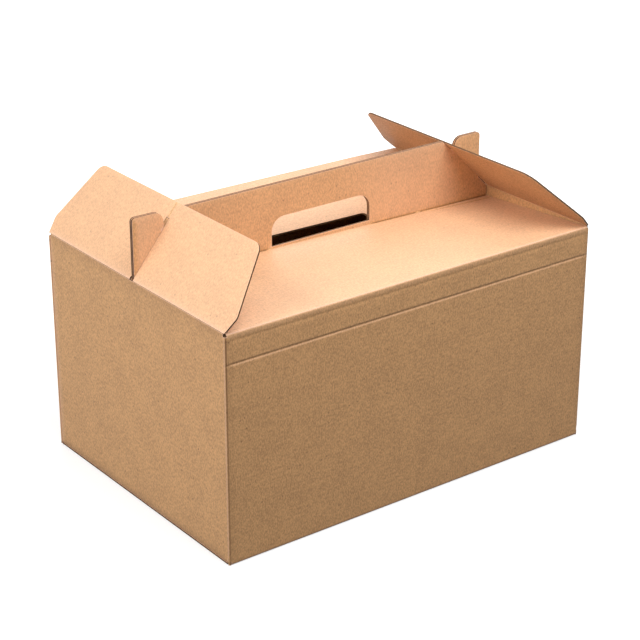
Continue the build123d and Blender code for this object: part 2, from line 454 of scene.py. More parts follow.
class Layout:
    """Where the flat sheet's own lines are, from the sizes that the user sets.

    Along the sheet, 0 is the middle of the front wall. The left wall and the glue lap
    come before it, and the right and back walls after it. Up the sheet, 0 is the floor.
    """

    def __init__(self, box, handle):
        self.box = box
        self.handle = handle
        self.half_length = box.length / 2
        self.half_width = box.width / 2
        self.inner_layer = box.board + LAYER_GAP
        self.lap_line = self.half_width - self.inner_layer
        self.panel_half = self.half_length - box.board - box.panel_gap
        self.boards_out = handle.gap / 2 + box.board
        self.front_left = -self.half_length
        self.front_right = self.half_length
        self.back_right = self.front_right + box.width
        self.back_left = self.back_right + box.length - FREE_EDGE
        self.left_back = self.front_left - self.half_width - self.lap_line
        folds = (self.left_back, self.front_left, self.front_right, self.back_right)
        self.corners = np.array(folds)
        self.lap_end = self.left_back - box.board - box.lap
        self.top = box.height
        self.crease = box.height + self.half_width - self.boards_out
        self.handle_top = box.height + handle.rise
        self.handle_run = self.handle_top - (box.height - box.left_sag)
        self.end_top = box.height + box.end_rise

    def crease_height(self, x):
        """Height of the crease between a top panel and its handle board."""
        share = (x + self.panel_half) / (2 * self.panel_half)
        left = self.box.height - self.box.left_sag
        return left + (self.box.left_sag - self.box.right_sag) * share

    def back(self, x):
        """Position along the sheet of x on the back wall."""
        return self.back_right + self.half_length - x

    def walls(self, along):
        """Which places are on the front and on the back wall, and the x of each."""
        front = np.abs(along) < self.half_length
        return front, along > self.back_right, np.where(front, along, self.back(along))

    def up_handle(self, x, z):
        """Position up the sheet of a point on a handle board."""
        crease = self.crease_height(x)
        return self.crease + (z - crease) * self.handle_run / (self.handle_top - crease)

    def height_on_handle(self, x, up):
        """Height of a place up the sheet on a handle board, the other way round."""
        crease = self.crease_height(x)
        return crease + (up - self.crease) * (self.handle_top - crease) / self.handle_run


def flap_point(side, slope, hinge, along, depth):
    """X and Z of a point on a resting end flap: along it, and below its hinge line."""
    x = hinge[0] - along * np.cos(slope) - depth * np.sin(slope)
    z = hinge[1] + along * np.sin(slope) - depth * np.cos(slope)
    return side * x, z


def ear_shape(layout, flaps, slope, inset):
    """Outer and inner x of an ear, the foot of its hooked side, and its corner radius."""
    handle = layout.handle
    hinge = hinge_line(layout, flaps)
    outer = layout.panel_half - inset
    inner = outer - handle.ear_width
    foot = inner + handle.ear_hook
    start_x, start_z = flap_point(1, slope, hinge, 0, flaps.hinge_offset + flaps.flush_depth)
    foot_z = start_z + (start_x - foot) * math.tan(slope)
    room = layout.handle_top - handle.ear_drop - foot_z - handle.ear_hook_height
    return outer, inner, foot, foot_z, min(handle.ear_inner_radius, 0.9 * room)


def hinge_line(layout, flaps):
    """X and Z of the right flap's hinge."""
    return layout.half_length + flaps.hinge_offset, layout.end_top + flaps.hinge_offset


def flap_ends(layout, flaps):
    """Side, slope at rest and ear inset of the left and the right end."""
    return (-1, flaps.left_slope, 0.0), (1, flaps.right_slope, layout.handle.right_inset)


def ear_reach(layout, flaps, slope, inset):
    """Distance from the hinge to the farthest point of an ear: its rounded corner."""
    _, inner, _, _, radius = ear_shape(layout, flaps, slope, inset)
    hinge = hinge_line(layout, flaps)
    ear_top = layout.handle_top - layout.handle.ear_drop
    return math.hypot(hinge[0] - inner - radius, ear_top - radius - hinge[1]) + radius


def handle_end(layout, flaps, side, slope, inset):
    """One end of a handle board, from its base over the ear to the handle's top edge."""
    handle = layout.handle
    hinge = hinge_line(layout, flaps)
    outer, inner, foot, foot_z, radius = ear_shape(layout, flaps, slope, inset)
    ear_top = layout.handle_top - handle.ear_drop
    face = flaps.hinge_offset + flaps.flush_depth
    under = flaps.hinge_offset + layout.box.board + flaps.rest_gap
    notch = ear_reach(layout, flaps, slope, inset)
    under_x, under_z = flap_point(1, slope, hinge, 0, under)
    base = layout.panel_half
    top = layout.handle_top - handle.top_drop
    top_x = under_x - (top - under_z) / math.tan(slope)
    corners = [(base, layout.crease_height(side * base), 0)]
    if inset > 0:
        corners += [(x, under_z + (under_x - x) * math.tan(slope), 0) for x in (base, outer)]
    corners += [
        (outer, ear_top, handle.ear_outer_radius),
        (inner, ear_top, radius),
        (inner, foot_z + handle.ear_hook_height, 0),
        (foot, foot_z, 0),
        (*flap_point(1, slope, hinge, notch, face), 0),
        (*flap_point(1, slope, hinge, notch, under), 0),
        (top_x, top, handle.top_radius),
    ]
    return np.array(corners) * (side, 1, 1)


def handle_chain(layout, flaps):
    """Outline of a handle board above its base, from left to right."""
    left, right = [handle_end(layout, flaps, *end) for end in flap_ends(layout, flaps)]
    corners = np.concatenate([left, right[::-1]])
    return rounded_chain(corners[:, :2], corners[:, 2])


def hole_chain(layout, low_left, low_right):
    """Hand hole from its left foot over the two rounded top corners to its right foot."""
    half = layout.handle.hole_width / 2
    top = layout.box.height + layout.handle.hole_rise
    radius = layout.handle.hole_radius
    corners = [(-half, low_left), (-half, top), (half, top), (half, low_right)]
    return rounded_chain(corners, [0, radius, radius, 0])


def front_hole(layout):
    """Hand hole in the front handle board, with a low sill under it."""
    sill = layout.crease_height(0) + layout.handle.hole_sill
    hole = hole_chain(layout, sill, sill)
    return np.stack([hole[:, 0], layout.up_handle(hole[:, 0], hole[:, 1])], 1)


def back_hole(layout):
    """Hand hole in the back handle board, which runs on into the back top panel."""
    handle = layout.handle
    half = handle.cut_width / 2
    foot = layout.crease + 0.4 * MM
    far = layout.crease - handle.cut_depth + layout.boards_out
    crease = layout.crease_height(0)
    hole = hole_chain(layout, crease, crease)
    upper = np.stack([hole[:, 0], layout.up_handle(hole[:, 0], hole[:, 1])], 1)
    upper[[0, -1], 1] = foot
    corners = [(half, foot), (half, far), (-half, far), (-half, foot)]
    lower = rounded_chain(corners, [0, handle.cut_radius, handle.cut_radius, 0])
    outline = np.concatenate([upper, lower])
    return np.stack([layout.back(outline[:, 0]), outline[:, 1]], 1)


def sheet_outline(layout, flaps):
    """Outline of the whole flat sheet, anticlockwise from the glue lap's lower corner."""
    box = layout.box
    fold = box.fold
    foot = 0.2 * MM
    slit = 0.4 * MM
    slit_top = box.bottom_fold + 0.1 * MM
    lap_room = 2 * box.board + 2 * MM
    rim = layout.top - fold
    # Each long flap widens by this much on each side, from the step's top to its foot
    widening = 1.8 * MM
    step_top = -2.5 * MM
    step_foot = -3.5 * MM
    wide = slit - widening
    end_tip = layout.inner_layer - (layout.half_length - box.seam / 2)
    long_tip = -(layout.half_width - box.seam / 2)

    def corner_foot(line):
        """Foot of a folded corner, just above the floor."""
        return [(line - fold, foot), (line + fold, foot)]

    def flap_below(low, high, top, sides):
        """A bottom flap between two slits, from the insets and heights of its sides."""
        sides = [(0, top), (slit, top), *sides]
        back_up = [(high - inset, up) for inset, up in sides[::-1]]
        return [(low + inset, up) for inset, up in sides] + back_up

    end_flap = (layout.inner_layer + slit_top, [(slit, end_tip)])
    long_flap = (slit_top, [(slit, step_top), (wide, step_foot), (wide, long_tip)])
    free = layout.back_left
    below = [(layout.lap_end, lap_room + box.lap_taper), (layout.left_back - fold, lap_room)]
    ends = [*(layout.corners[1:] - fold), free - FREE_FOOT]
    for line, high, flap in zip(layout.corners, ends, (end_flap, long_flap) * 2):
        below += corner_foot(line)
        below += flap_below(line + fold, high, *flap)
    below += [(free - FREE_FOOT, foot), (free, foot), (free, rim)]

    chain = handle_chain(layout, flaps)
    chain = np.stack([chain[:, 0], layout.up_handle(chain[:, 0], chain[:, 1])], 1)
    panel = layout.panel_half
    back_chain = np.stack([layout.back(chain[:, 0]), chain[:, 1]], 1)

    def end_wall_top(high, low):
        """Top of an end wall and the corners beside it, from high to low."""
        high, low = high - fold, low + fold
        return [(high, rim), (high, layout.end_top), (low, layout.end_top), (low, rim)]

    right = end_wall_top(layout.back_right, layout.front_right)
    right = [(layout.back(panel), rim), *right, (panel, rim)]
    left = [
        (-panel, rim),
        *end_wall_top(layout.front_left, layout.left_back),
        (layout.left_back - fold, rim),
        (layout.left_back - fold, box.height - lap_room),
        (layout.lap_end, box.height - lap_room - box.lap_taper),
    ]
    below.append((layout.back(-panel), rim))
    return np.concatenate([below, back_chain, right, chain[::-1], left])


def smooth_step(low, high, value):
    """0 up to low, 1 from high on, and a smooth rise between."""
    share = np.clip((value - low) / (high - low), 0, 1)
    return share * share * (3 - 2 * share)


def score_depth(layout, x, up):
    """Depth of the pressed score lines on a long wall: a parabola across each line."""
    fade = smooth_step(0, 4 * MM, layout.half_length - layout.box.fold - np.abs(x))
    depth = np.zeros_like(up)
    for drop, deep, mouth in SCORES:
        across = (up - layout.top + drop) / (mouth / 2)
        depth += deep * np.clip(1 - across**2, 0, None)
    return depth * fade


def back_rise(layout, x):
    """Height that the back top edge gains: up from the left end, then slowly down."""
    share = (x + layout.half_length) / (2 * layout.half_length)
    ends = smooth_step(0, 0.14, share) * smooth_step(0, 0.14, 1 - share)
    return layout.box.back_arch * ends * (1.15 - share)


def fold_sheet(layout, along, up, depth):
    """Folds the flat sheet's points into the carton.

    Along the sheet, the place follows the rounded outline of the box. Up the sheet, it
    follows a section that starts at the middle of the bottom, turns up at the floor,
    turns in at the top edge, and on a long wall turns up again at the crease into the
    handle. Depth is measured in from the outer face, square to the section.
    """
    box = layout.box
    lanes = np.ones_like(along)
    corner_x = np.array([-1, -1, -1, 1, 1, -1]) * layout.half_length
    corner_x[0] += box.board + box.lap
    corner_x[-1] += FREE_EDGE
    corner_y = np.array([0, 0, -1, -1, 1, 1]) * layout.half_width
    corner_y[:2] = layout.lap_line
    knots = np.array([layout.lap_end, *layout.corners, layout.back_left])
    turns = np.stack([corner_x, corner_y], 1)
    rounding = np.where(up >= 0, box.fold, 0.0) * np.ones((len(knots), 1))
    base, ahead = bent_line(along, knots[:, None] * lanes, turns[:, :, None] * lanes, rounding)

    front, back, x = layout.walls(along)
    long_wall = front | back
    corners = layout.corners[:, None]
    near_corner = (np.abs(along - corners) <= box.fold).any(0) & (up >= 0)
    lap = along < layout.left_back - box.fold
    free_foot = along > layout.back_left - FREE_FOOT - 0.1 * MM
    straight_foot = (near_corner | lap | free_foot) & (up > 0)
    floor = np.where(long_wall, 0.0, layout.inner_layer)
    crease = layout.crease_height(x)
    middle = layout.crease - layout.top
    # The section runs this far in under the box, past the middle of the bottom
    far = 0.2
    end = layout.crease + layout.handle_run
    inner = np.where(long_wall, middle, 0)
    crease = np.where(long_wall, crease, layout.crease)
    handle_top = np.where(long_wall, layout.handle_top, end)
    section_up = [floor - far, floor, layout.top * lanes, layout.crease * lanes, end * lanes]
    section_in = [np.where(straight_foot, 0, far), 0 * lanes, 0 * lanes, inner, inner]
    low_end = np.where(straight_foot, floor - far, floor)
    section_z = [low_end, floor, layout.top * lanes, crease, handle_top]
    section_up, section_in, section_z = map(np.stack, (section_up, section_in, section_z))
    section_z[2] += np.where(back, back_rise(layout, x), 0)
    setbacks = np.array([0, box.bottom_fold, box.fold, CREASE_FOLD, 0])[:, None] * lanes
    section = np.stack([section_in, section_z], 1)
    place, heading = bent_line(up, section_up, section, setbacks)
    on_wall = long_wall & (up > 0) & (up < layout.top)
    dent = np.where(on_wall, score_depth(layout, x, up), 0.0)
    dent += bow_depth(layout, along, up)
    inward = place[0] + heading[1] * (depth + dent)
    height = place[1] - heading[0] * (depth + dent)
    return np.stack([base[0] - ahead[1] * inward, base[1] + ahead[0] * inward, height], 1)


def bow_depth(layout, along, up):
    """Slight inward bow of the walls and top panels: a product of half sine waves.

    Each panel's bow is nothing along its folds and most near its middle, with one slow
    ripple on top, as board that was stored flat has.
    """
    starts = layout.corners
    ends = np.append(starts[1:], layout.back_left)
    panel = np.clip(np.searchsorted(starts, along) - 1, 0, 3)
    across = np.clip((along - starts[panel]) / (ends - starts)[panel], 0, 1)
    wall = np.clip(up / layout.top, 0, 1)
    lid = np.clip((up - layout.top) / (layout.crease - layout.top), 0, 1)
    long_panel = (panel == 1) | (panel == 3)
    wall_bow = np.sin(np.pi * across) * np.sin(np.pi * wall) ** 2
    lid_bow = np.sin(np.pi * across) * np.sin(np.pi * lid) ** 2 * long_panel
    ripple = 0.6 + 0.4 * np.sin(2 * np.pi * (1.5 * across + 0.6 * wall + 0.3 * panel))
    return (WALL_BOW * wall_bow + LID_BOW * lid_bow) * ripple


def skin(name, sheet, fold, materials):
    """Closed mesh of a folded sheet: its outer face, its inner face and its cut edge.

    The inner face is the outer one's triangles turned over, and each side that only one
    triangle has becomes a strip of the cut edge. Both faces sink a little towards it, as
    board does under the cutting rule. The faces' map holds the place on the flat sheet,
    and the cut edge's map holds depth and height, so that flutes meet it.
    """
    points, faces, rims = sheet
    count = len(points)
    board = fold["board"]
    outer = fold["place"](points[:, 0], points[:, 1], CRUSH * rims)
    inner = fold["place"](points[:, 0], points[:, 1], board - CRUSH * rims)
    sides = np.concatenate([faces[:, [0, 1]], faces[:, [1, 2]], faces[:, [2, 0]]])
    code = sides[:, 0] * count + sides[:, 1]
    twin = sides[:, 1] * count + sides[:, 0]
    rim = sides[~np.isin(code, twin)]
    strips = np.stack([rim[:, 1], rim[:, 0], rim[:, 0] + count, rim[:, 1] + count], 1)
    mesh = bpy.data.meshes.new(name)
    triangles = np.concatenate([faces, faces[:, ::-1] + count])
    mesh.from_pydata(np.concatenate([outer, inner]), [], triangles.tolist() + strips.tolist())
    for material in materials:
        mesh.materials.append(material)
    index = np.zeros(len(mesh.polygons), np.int32)
    index[len(triangles) :] = 1
    mesh.polygons.foreach_set("material_index", index)
    corners = np.concatenate([triangles.ravel(), strips.ravel()])
    where = np.tile(points, (2, 1))[corners]
    where[triangles.size :, 0] = np.where(strips.ravel() < count, 0.0, board)
    flat_map = mesh.uv_layers.new(name="sheet")
    flat_map.uv.foreach_set("vector", where.astype(np.float32).ravel())
    tones = [fold["tone"](points[:, 0], points[:, 1], face) for face in (OUTSIDE, INSIDE)]
    shares = {"rim": np.tile(rims, 2), "tone": np.concatenate(tones)}
    for title, share in shares.items():
        attribute = mesh.attributes.new(title, "FLOAT", "POINT")
        attribute.data.foreach_set("value", share.astype(np.float32))
    mesh.polygons.foreach_set("use_smooth", np.ones(len(mesh.polygons), bool))
    mesh.set_sharp_from_angle(angle=math.radians(50))
    mesh.validate()
    piece = bpy.data.objects.new(name, mesh)
    bpy.context.scene.collection.objects.link(piece)
    return piece


def near_line(value, line, width):
    """1 on a line, fading to 0 over its width to each side as a bell curve does."""
    return np.exp(-(((value - line) / width) ** 2))


def bells(value, line, *marks):
    """Sum of bell curves across a line, each with its strength, offset and width."""
    return sum(
        strength * near_line(value, line + offset, width) for strength, offset, width in marks
    )


def flush_edge(layout, flaps, x, z):
    """1 along the handle's edge that fills the end of a flap's slot, and 0 away from it."""
    # The edge it marks sits in shade, and its tone paints it pale as if lit
    hinge = hinge_line(layout, flaps)
    share = np.zeros_like(x)
    for side, slope, inset in flap_ends(layout, flaps):
        run, rise = hinge[0] - side * x, z - hinge[1]
        along = run * math.cos(slope) + rise * math.sin(slope)
        below = run * math.sin(slope) - rise * math.cos(slope)
        _, _, foot, _, _ = ear_shape(layout, flaps, slope, inset)
        foot_along = (hinge[0] - foot) / math.cos(slope)
        notch = ear_reach(layout, flaps, slope, inset)
        beside = (along > foot_along - MM) & (along < notch + 0.5 * MM)
        share += beside * near_line(below, flaps.hinge_offset + flaps.flush_depth, 0.8 * MM)
    return share


def panel_mark(layout):
    """Ends of the slanted line pressed in the front top panel, right of the hand hole."""
    return (96 * MM, layout.crease - 3.2 * MM), (172 * MM, layout.crease - 7.0 * MM)


def sheet_tone(layout, flaps, along, up):
    """How much paler or darker the liner is painted than bare paper, from -1 to 1.

    The lid and the handle are painted paler than the walls, as light that falls on them. Each
    fold, crease, score and mark adds bell curves across it: painted shade on the inside of a bend
    and a painted highlight on its outside, with darker broken fibres at some. A painted shade line
    runs along the floor, and painted shade lies under each end wall's top edge.
    """
    front, back, x = layout.walls(along)
    long_wall = front | back
    wall = (up > 0) & (up < layout.top)
    # The painted shade on the front left fold's dark side is weaker low down
    high = 0.75 + 0.25 * smooth_step(layout.top - 90 * MM, layout.top, up)
    # Painted highlights and painted shade across the vertical folds; the back left corner is
    # painted pale over the shade where it turns away from the light
    tone = bells(along, layout.left_back, BACK_LEFT_FOLD)
    tone += bells(along, layout.front_left, FRONT_LEFT_FOLD)
    tone += bells(along, layout.front_left, FRONT_LEFT_SHADE) * high
    tone += bells(along, layout.front_right, FRONT_RIGHT_FOLD)
    tone *= wall
    down = layout.top - up
    hole = layout.handle.hole_width / 2
    beside_hole = smooth_step(hole - 2 * MM, hole + 4 * MM, np.abs(along))
    # Painted highlights and painted shade along the top edge and the scores, and painted shade in
    # the crease beside the hand hole
    top = bells(down, 0, *TOP_LINES) + beside_hole * bells(up, layout.crease, CREASE)
    # The glued corner's edge is painted pale over the shade it sits in
    tone += long_wall * top + (up > 0) * bells(along, layout.back_left, GLUED_EDGE)
    tone -= ~long_wall * wall * END_SHADE * np.exp(-np.abs(down) / END_SHADE_REACH)

    # Painted light: the top panels are painted paler than the walls
    tone += LID_LIGHT * long_wall * smooth_step(-0.5 * MM, 2 * MM, -down)
    z = layout.height_on_handle(x, up)
    # Painted light: the handle is painted paler than the walls, more at its right part and its
    # left ear
    on_handle = long_wall * smooth_step(-MM, MM, up - layout.crease)
    right_part = smooth_step(0, 80 * MM, x) * smooth_step(-145 * MM, -130 * MM, -x)
    left_ear = smooth_step(130 * MM, 150 * MM, -x)
    painted_shading = HANDLE_LIGHT + EXTRA_HANDLE_LIGHT * (right_part + left_ear)
    # Painted light also where the handle's edge fills a slot's end in shade
    tone += on_handle * (painted_shading - LID_LIGHT + flush_edge(layout, flaps, x, z))
    # Painted shade beside each ear's side edge, where the slot's gap lies in shadow
    on_ear = on_handle * (z > layout.end_top + 2 * MM)
    tone += on_ear * bells(x, -layout.panel_half, EAR_SIDE)

    # The slanted mark: painted shade along its pressed line and a painted highlight between it and
    # the crease
    start, end = panel_mark(layout)
    mark = start[1] + (end[1] - start[1]) * (along - start[0]) / (end[0] - start[0])
    marked = front & (along > start[0]) & (along < end[0])
    marked = marked * smooth_step(start[0], start[0] + 30 * MM, along)
    tone += marked * bells(up, mark, MARK_DARK)
    tone += marked * bells(up, (mark + layout.crease) / 2, MARK_PALE)
    # Painted shade: a dark line along the floor, where the box meets it
    floor = np.where(long_wall, 0.0, layout.inner_layer)
    tone += bells(up, floor, FLOOR_LINE)
    return np.clip(tone, -1, 1)


def spread(low, high, step):
    """Even lines from low to high, about a step apart."""
    return np.linspace(low, high, max(2, round((high - low) / step) + 1))


def lines_near(*groups):
    """Sorted grid lines of several groups, with those closer than 0.03 mm merged."""
    lines = np.sort(np.concatenate(groups))
    return lines[np.diff(lines, prepend=lines[0] - 1) > 0.03 * MM]


def carton_grid(layout):
    """Columns and rows of the carton's mesh, closer at its folds, scores and crease."""
    box = layout.box
    fold = box.fold
    cell = 6 * MM
    starts = [layout.lap_end, *(layout.corners + fold)]
    stops = [*(layout.corners - fold), layout.back_left - fold]
    columns = lines_near(
        *[spread(start, stop, cell) for start, stop in zip(starts, stops)],
        *[spread(line - fold, line + fold, fold / 3) for line in layout.corners],
    )
    top, crease = layout.top, layout.crease
    end_tip = layout.inner_layer - layout.half_length
    low_fold = layout.inner_layer + box.bottom_fold
    score = top - SCORES[0][0]
    rows = lines_near(
        spread(end_tip, -box.bottom_fold, cell),
        spread(-box.bottom_fold, low_fold, box.bottom_fold / 4),
        spread(low_fold, score - 2 * MM, cell),
        spread(score + 2 * MM, top - fold, 4 * MM),
        spread(top - fold, top + fold, fold / 4),
        spread(top + fold, crease - CREASE_FOLD, cell),
        spread(crease - CREASE_FOLD, crease + CREASE_FOLD, 0.1 * MM),
        crease + np.array([-1.5, -0.8, 0.8, 1.5]) * MM,
        spread(crease + CREASE_FOLD, crease + layout.handle_run, cell),
        *[
            spread(top - drop - mouth / 2, top - drop + mouth / 2, mouth / 6)
            for drop, _, mouth in SCORES
        ],
    )
    return columns, rows


def mark_points(layout):
    """Extra points on and beside the slanted mark, so that its tone has a sharp edge."""
    start, end = np.array(panel_mark(layout))
    shares = np.linspace(0, 1, 31)[:, None, None]
    beside = spread(-1.2 * MM, 1.2 * MM, 0.6 * MM)[None, :, None] * (0, 1)
    return (start + (end - start) * shares + beside).reshape(-1, 2)


class TAKEAWAYBOX_OT_carton(Operator):
    """Cut the carton's flat sheet and fold it into walls, bottom, top and handle"""

    bl_idname = "takeaway_box.carton"
    bl_label = "Fold carton"

    def execute(self, context):
        settings = context.scene
        layout = Layout(settings.takeaway_box, settings.takeaway_handle)
        flaps = settings.takeaway_flaps
        loops = [sheet_outline(layout, flaps), front_hole(layout), back_hole(layout)]
        sheet = cut_sheet(loops, *carton_grid(layout), [mark_points(layout)])
        folding = {
            "board": layout.box.board,
            "place": lambda *place: fold_sheet(layout, *place),
            "tone": lambda along, up, face: sheet_tone(layout, flaps, along, up),
        }
        piece = skin("folded_carton", sheet, folding, board_materials(settings))
        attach(piece, "carton")
        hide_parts("carton")
        return {"FINISHED"}


def flap_outline(layout, flaps, slope, inset, tip_width, corner_radius):
    """Outline of an end flap with its slot, anticlockwise from the slot's left foot.

    The slot opens at the hinge in a round eye, runs up past the ear's reach and ends
    square.
    """
    root = flaps.hinge_offset
    slot = layout.boards_out + flaps.slot_clear
    slot_end = ear_reach(layout, flaps, slope, inset) + flaps.pass_gap
    eye = flaps.eye_radius
    eye_line = flaps.slot_start + layout.box.board * 0.2
    neck = eye_line + math.sqrt(eye**2 - slot**2)
    angle = np.linspace(0, math.asin((neck - eye_line) / eye), 5)
    bulge = np.stack([eye * np.cos(angle), eye_line + eye * np.sin(angle)], 1)
    widths = np.array([flaps.root_width, flaps.shoulder_width, tip_width])
    side = np.stack([widths / 2, [root, flaps.shoulder_height, flaps.length]], 1)
    roundings = [0, flaps.shoulder_radius, corner_radius]
    corners = np.concatenate([side, side[::-1] * (-1, 1)])
    outside = rounded_chain(corners, roundings + roundings[::-1], 8)
    slot_top = [(-slot, slot_end), (slot, slot_end)]
    inside = [[(-eye, root)], bulge * (-1, 1), slot_top, bulge[::-1], [(eye, root)]]
    return np.concatenate([*inside, outside])


def lean_flap(layout, flaps, side, slope, along, up, depth):
    """Places a flat flap at its slope: up it from the hinge, depth below its outer face.

    Its root is cut back on the inner face at 45 degrees, so it can swing past the wall.
    """
    hinge = hinge_line(layout, flaps)
    up = np.maximum(up, flaps.hinge_offset + depth)
    x, z = flap_point(side, slope, hinge, up, flaps.hinge_offset + depth)
    return np.stack([x, side * along, z], 1)


def flap_tone(painted_shading, slot_end, along, up):
    """A flap's painted shading, a painted highlight along its hinge, and a darker line from the
    slot's end to the free edge.
    """
    return painted_shading + bells(up, 0, FLAP_HINGE) + (up > slot_end) * bells(along, 0, SLOT_LINE)


class TAKEAWAYBOX_OT_end_flaps(Operator):
    """Cut both end flaps with their slots and lean them over the handle's ears"""

    bl_idname = "takeaway_box.end_flaps"
    bl_label = "Fold end flaps"

    def execute(self, context):
        settings = context.scene
        layout = Layout(settings.takeaway_box, settings.takeaway_handle)
        flaps = settings.takeaway_flaps
        for name, end in zip(("left", "right"), flap_ends(layout, flaps)):
            self.make_flap(settings, layout, flaps, name, *end)
        return {"FINISHED"}

    def make_flap(self, settings, layout, flaps, name, side, slope, inset):
        """One end flap, riding on its own body."""
        board = layout.box.board
        slot_end = ear_reach(layout, flaps, slope, inset) + flaps.pass_gap
        half = flaps.shoulder_width / 2
        columns = lines_near(spread(-half, half, 5 * MM), spread(-2 * MM, 2 * MM, 0.5 * MM))
        rows = spread(flaps.hinge_offset + board * 1.5, flaps.length, 4 * MM)
        corners = (flaps.tip_width, flaps.corner_radius)
        if side > 0:
            corners = (flaps.right_tip_width, flaps.right_corner_radius)
        outline = flap_outline(layout, flaps, slope, inset, *corners)
        sheet = cut_sheet([outline], columns, rows)
        tones = FLAP_TONES[name]
        folding = {
            "board": board,
            "place": lambda *place: lean_flap(layout, flaps, side, slope, *place),
            "tone": lambda along, up, face: flap_tone(tones[face], slot_end, along, up),
        }
        piece = skin(f"folded_{name}_flap", sheet, folding, board_materials(settings))
        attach(piece, f"{name}_flap")
        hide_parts(f"{name}_end_flap")


def add(tree, kind, inputs=None, **settings):
    """Adds a node, sets it, and fills its inputs with values or links."""
    node = tree.nodes.new(kind)
    for key, value in settings.items():
        setattr(node, key, value)
    for key, value in (inputs or {}).items():
        if isinstance(value, bpy.types.NodeSocket):
            tree.links.new(value, node.inputs[key])
        else:
            node.inputs[key].default_value = value
    return node


def new_material(name):
    """Empty node material, and its tree."""
    material = bpy.data.materials.new(name)
    material.use_nodes = True
    material.node_tree.nodes.clear()
    return material, material.node_tree


def board_materials(settings):
    """The liner on the faces and the fluting on the cut edges, made once."""
    made = [bpy.data.materials.get(name) for name in ("kraft_liner", "cut_fluting")]
    if None in made:
        made = [kraft_liner(settings.takeaway_finish), cut_fluting(settings.takeaway_finish)]
    return made


def noise(tree, place, size, detail):
    """Flat noise of a given grain size, from about 0 to 1."""
    settings = {"Vector": place, "Scale": 1 / size, "Detail": detail, "Roughness": 0.6}
    return add(tree, "ShaderNodeTexNoise", settings, noise_dimensions="2D").outputs["Fac"]


def remap(tree, value, low, high, to_low=0.0, to_high=1.0):
    """A value moved from one range to another, and kept inside it."""
    span = {"Value": value, "From Min": low, "From Max": high, "To Min": to_low, "To Max": to_high}
    return add(tree, "ShaderNodeMapRange", span).outputs[0]


def maths(tree, operation, *values):
    """One step of arithmetic."""
    inputs = dict(enumerate(values))
    return add(tree, "ShaderNodeMath", inputs, operation=operation).outputs[0]


def blend(tree, share, first, second):
    """The first colour where the share is 0, and the second where it is 1."""
    inputs = {0: share, 6: first, 7: second}
    return add(tree, "ShaderNodeMix", inputs, data_type="RGBA").outputs[2]


def kraft_liner(finish):
    """Unbleached kraft linerboard, machine-finished and glued on fluting.

    The eye sees a warm brown of light and dark fibres that run up the sheet, faint clouds,
    scattered bark specks, the barely raised lines of the flutes, and cut edges that are rubbed
    pale and carry a painted highlight. Painted shade and painted highlights lie across the folds,
    creases and scores, and painted light makes the lid, the handle and the left flap paler. Fibre
    length and specks are drawn about twice as coarse as real ones, so that they show from a metre
    away.
    """
    material, tree = new_material("kraft_liner")
    sheet = add(tree, "ShaderNodeUVMap", uv_map="sheet").outputs[0]
    stretch = {"Vector": sheet, "Scale": (1.0, 0.6, 1.0)}
    grain = add(tree, "ShaderNodeMapping", stretch, vector_type="POINT").outputs[0]
    fibre = remap(tree, noise(tree, grain, FIBRE_GRAIN, 2.0), 0.31, 0.69)
    mottle = remap(tree, noise(tree, sheet, MOTTLE_GRAIN, 2.0), 0.3, 0.7, -0.2, 0.2)
    cloud = remap(tree, noise(tree, sheet, CLOUD_GRAIN, 3.0), 0.3, 0.7, -0.14, 0.14)
    share = maths(tree, "ADD", fibre, maths(tree, "ADD", mottle, cloud))
    share = remap(tree, share, 0.0, 1.0)
    colour = blend(tree, share, (*finish.fibre, 1), (*finish.liner, 1))
    spots = {"Vector": sheet, "Scale": 1 / SPECK_SPACING, "Randomness": 1.0}
    spot = add(tree, "ShaderNodeTexVoronoi", spots, voronoi_dimensions="2D").outputs
    speck = remap(tree, spot["Distance"], 0.05, 0.10, 0.55, 0.0)
    chosen = remap(tree, spot["Color"], 0.64, 0.84)
    colour = blend(tree, maths(tree, "MULTIPLY", speck, chosen), colour, (*finish.fleck_and_shade, 1))
    tone = add(tree, "ShaderNodeAttribute", attribute_name="tone").outputs["Fac"]
    rim = add(tree, "ShaderNodeAttribute", attribute_name="rim").outputs["Fac"]
    # Painted shade where the tone is below 0, partly darker broken fibres; painted light and
    # highlights where it is above 0 and along the rim, together with the rim's real wear
    broken_and_shade = remap(tree, tone, 0.0, -1.0)
    colour = blend(tree, broken_and_shade, colour, (*finish.fleck_and_shade, 1))
    rim_wear_and_highlight = remap(tree, rim, 0.1, 1.0, 0.0, 0.6)
    wear_and_light = maths(tree, "MAXIMUM", remap(tree, tone, 0.0, 1.0), rim_wear_and_highlight)
    colour = blend(tree, wear_and_light, colour, (*finish.worn, 1))
    rough = remap(tree, fibre, 0.0, 1.0, 0.68, 0.52)
    rough = maths(tree, "MAXIMUM", rough, remap(tree, rim, 0.0, 1.0, 0.0, 0.75))
    height = add(tree, "ShaderNodeSeparateXYZ", {0: sheet}).outputs[1]
    flute = maths(tree, "SINE", maths(tree, "MULTIPLY", height, 2 * math.pi / finish.pitch))
    fibres = maths(tree, "MULTIPLY", fibre, FIBRE_RELIEF)
    raised = maths(tree, "MULTIPLY_ADD", flute, FLUTE_RELIEF, fibres)
    bump = add(tree, "ShaderNodeBump", {"Height": raised, "Strength": 1.0, "Distance": MM})
    paper = {
        "Base Color": colour,
        "Roughness": rough,
        "IOR": 1.5,
        "Sheen Weight": 0.05,
        "Sheen Roughness": 0.4,
        "Normal": bump.outputs[0],
    }
    shader = add(tree, "ShaderNodeBsdfPrincipled", paper)
    add(tree, "ShaderNodeOutputMaterial", {"Surface": shader.outputs[0]})
    return material


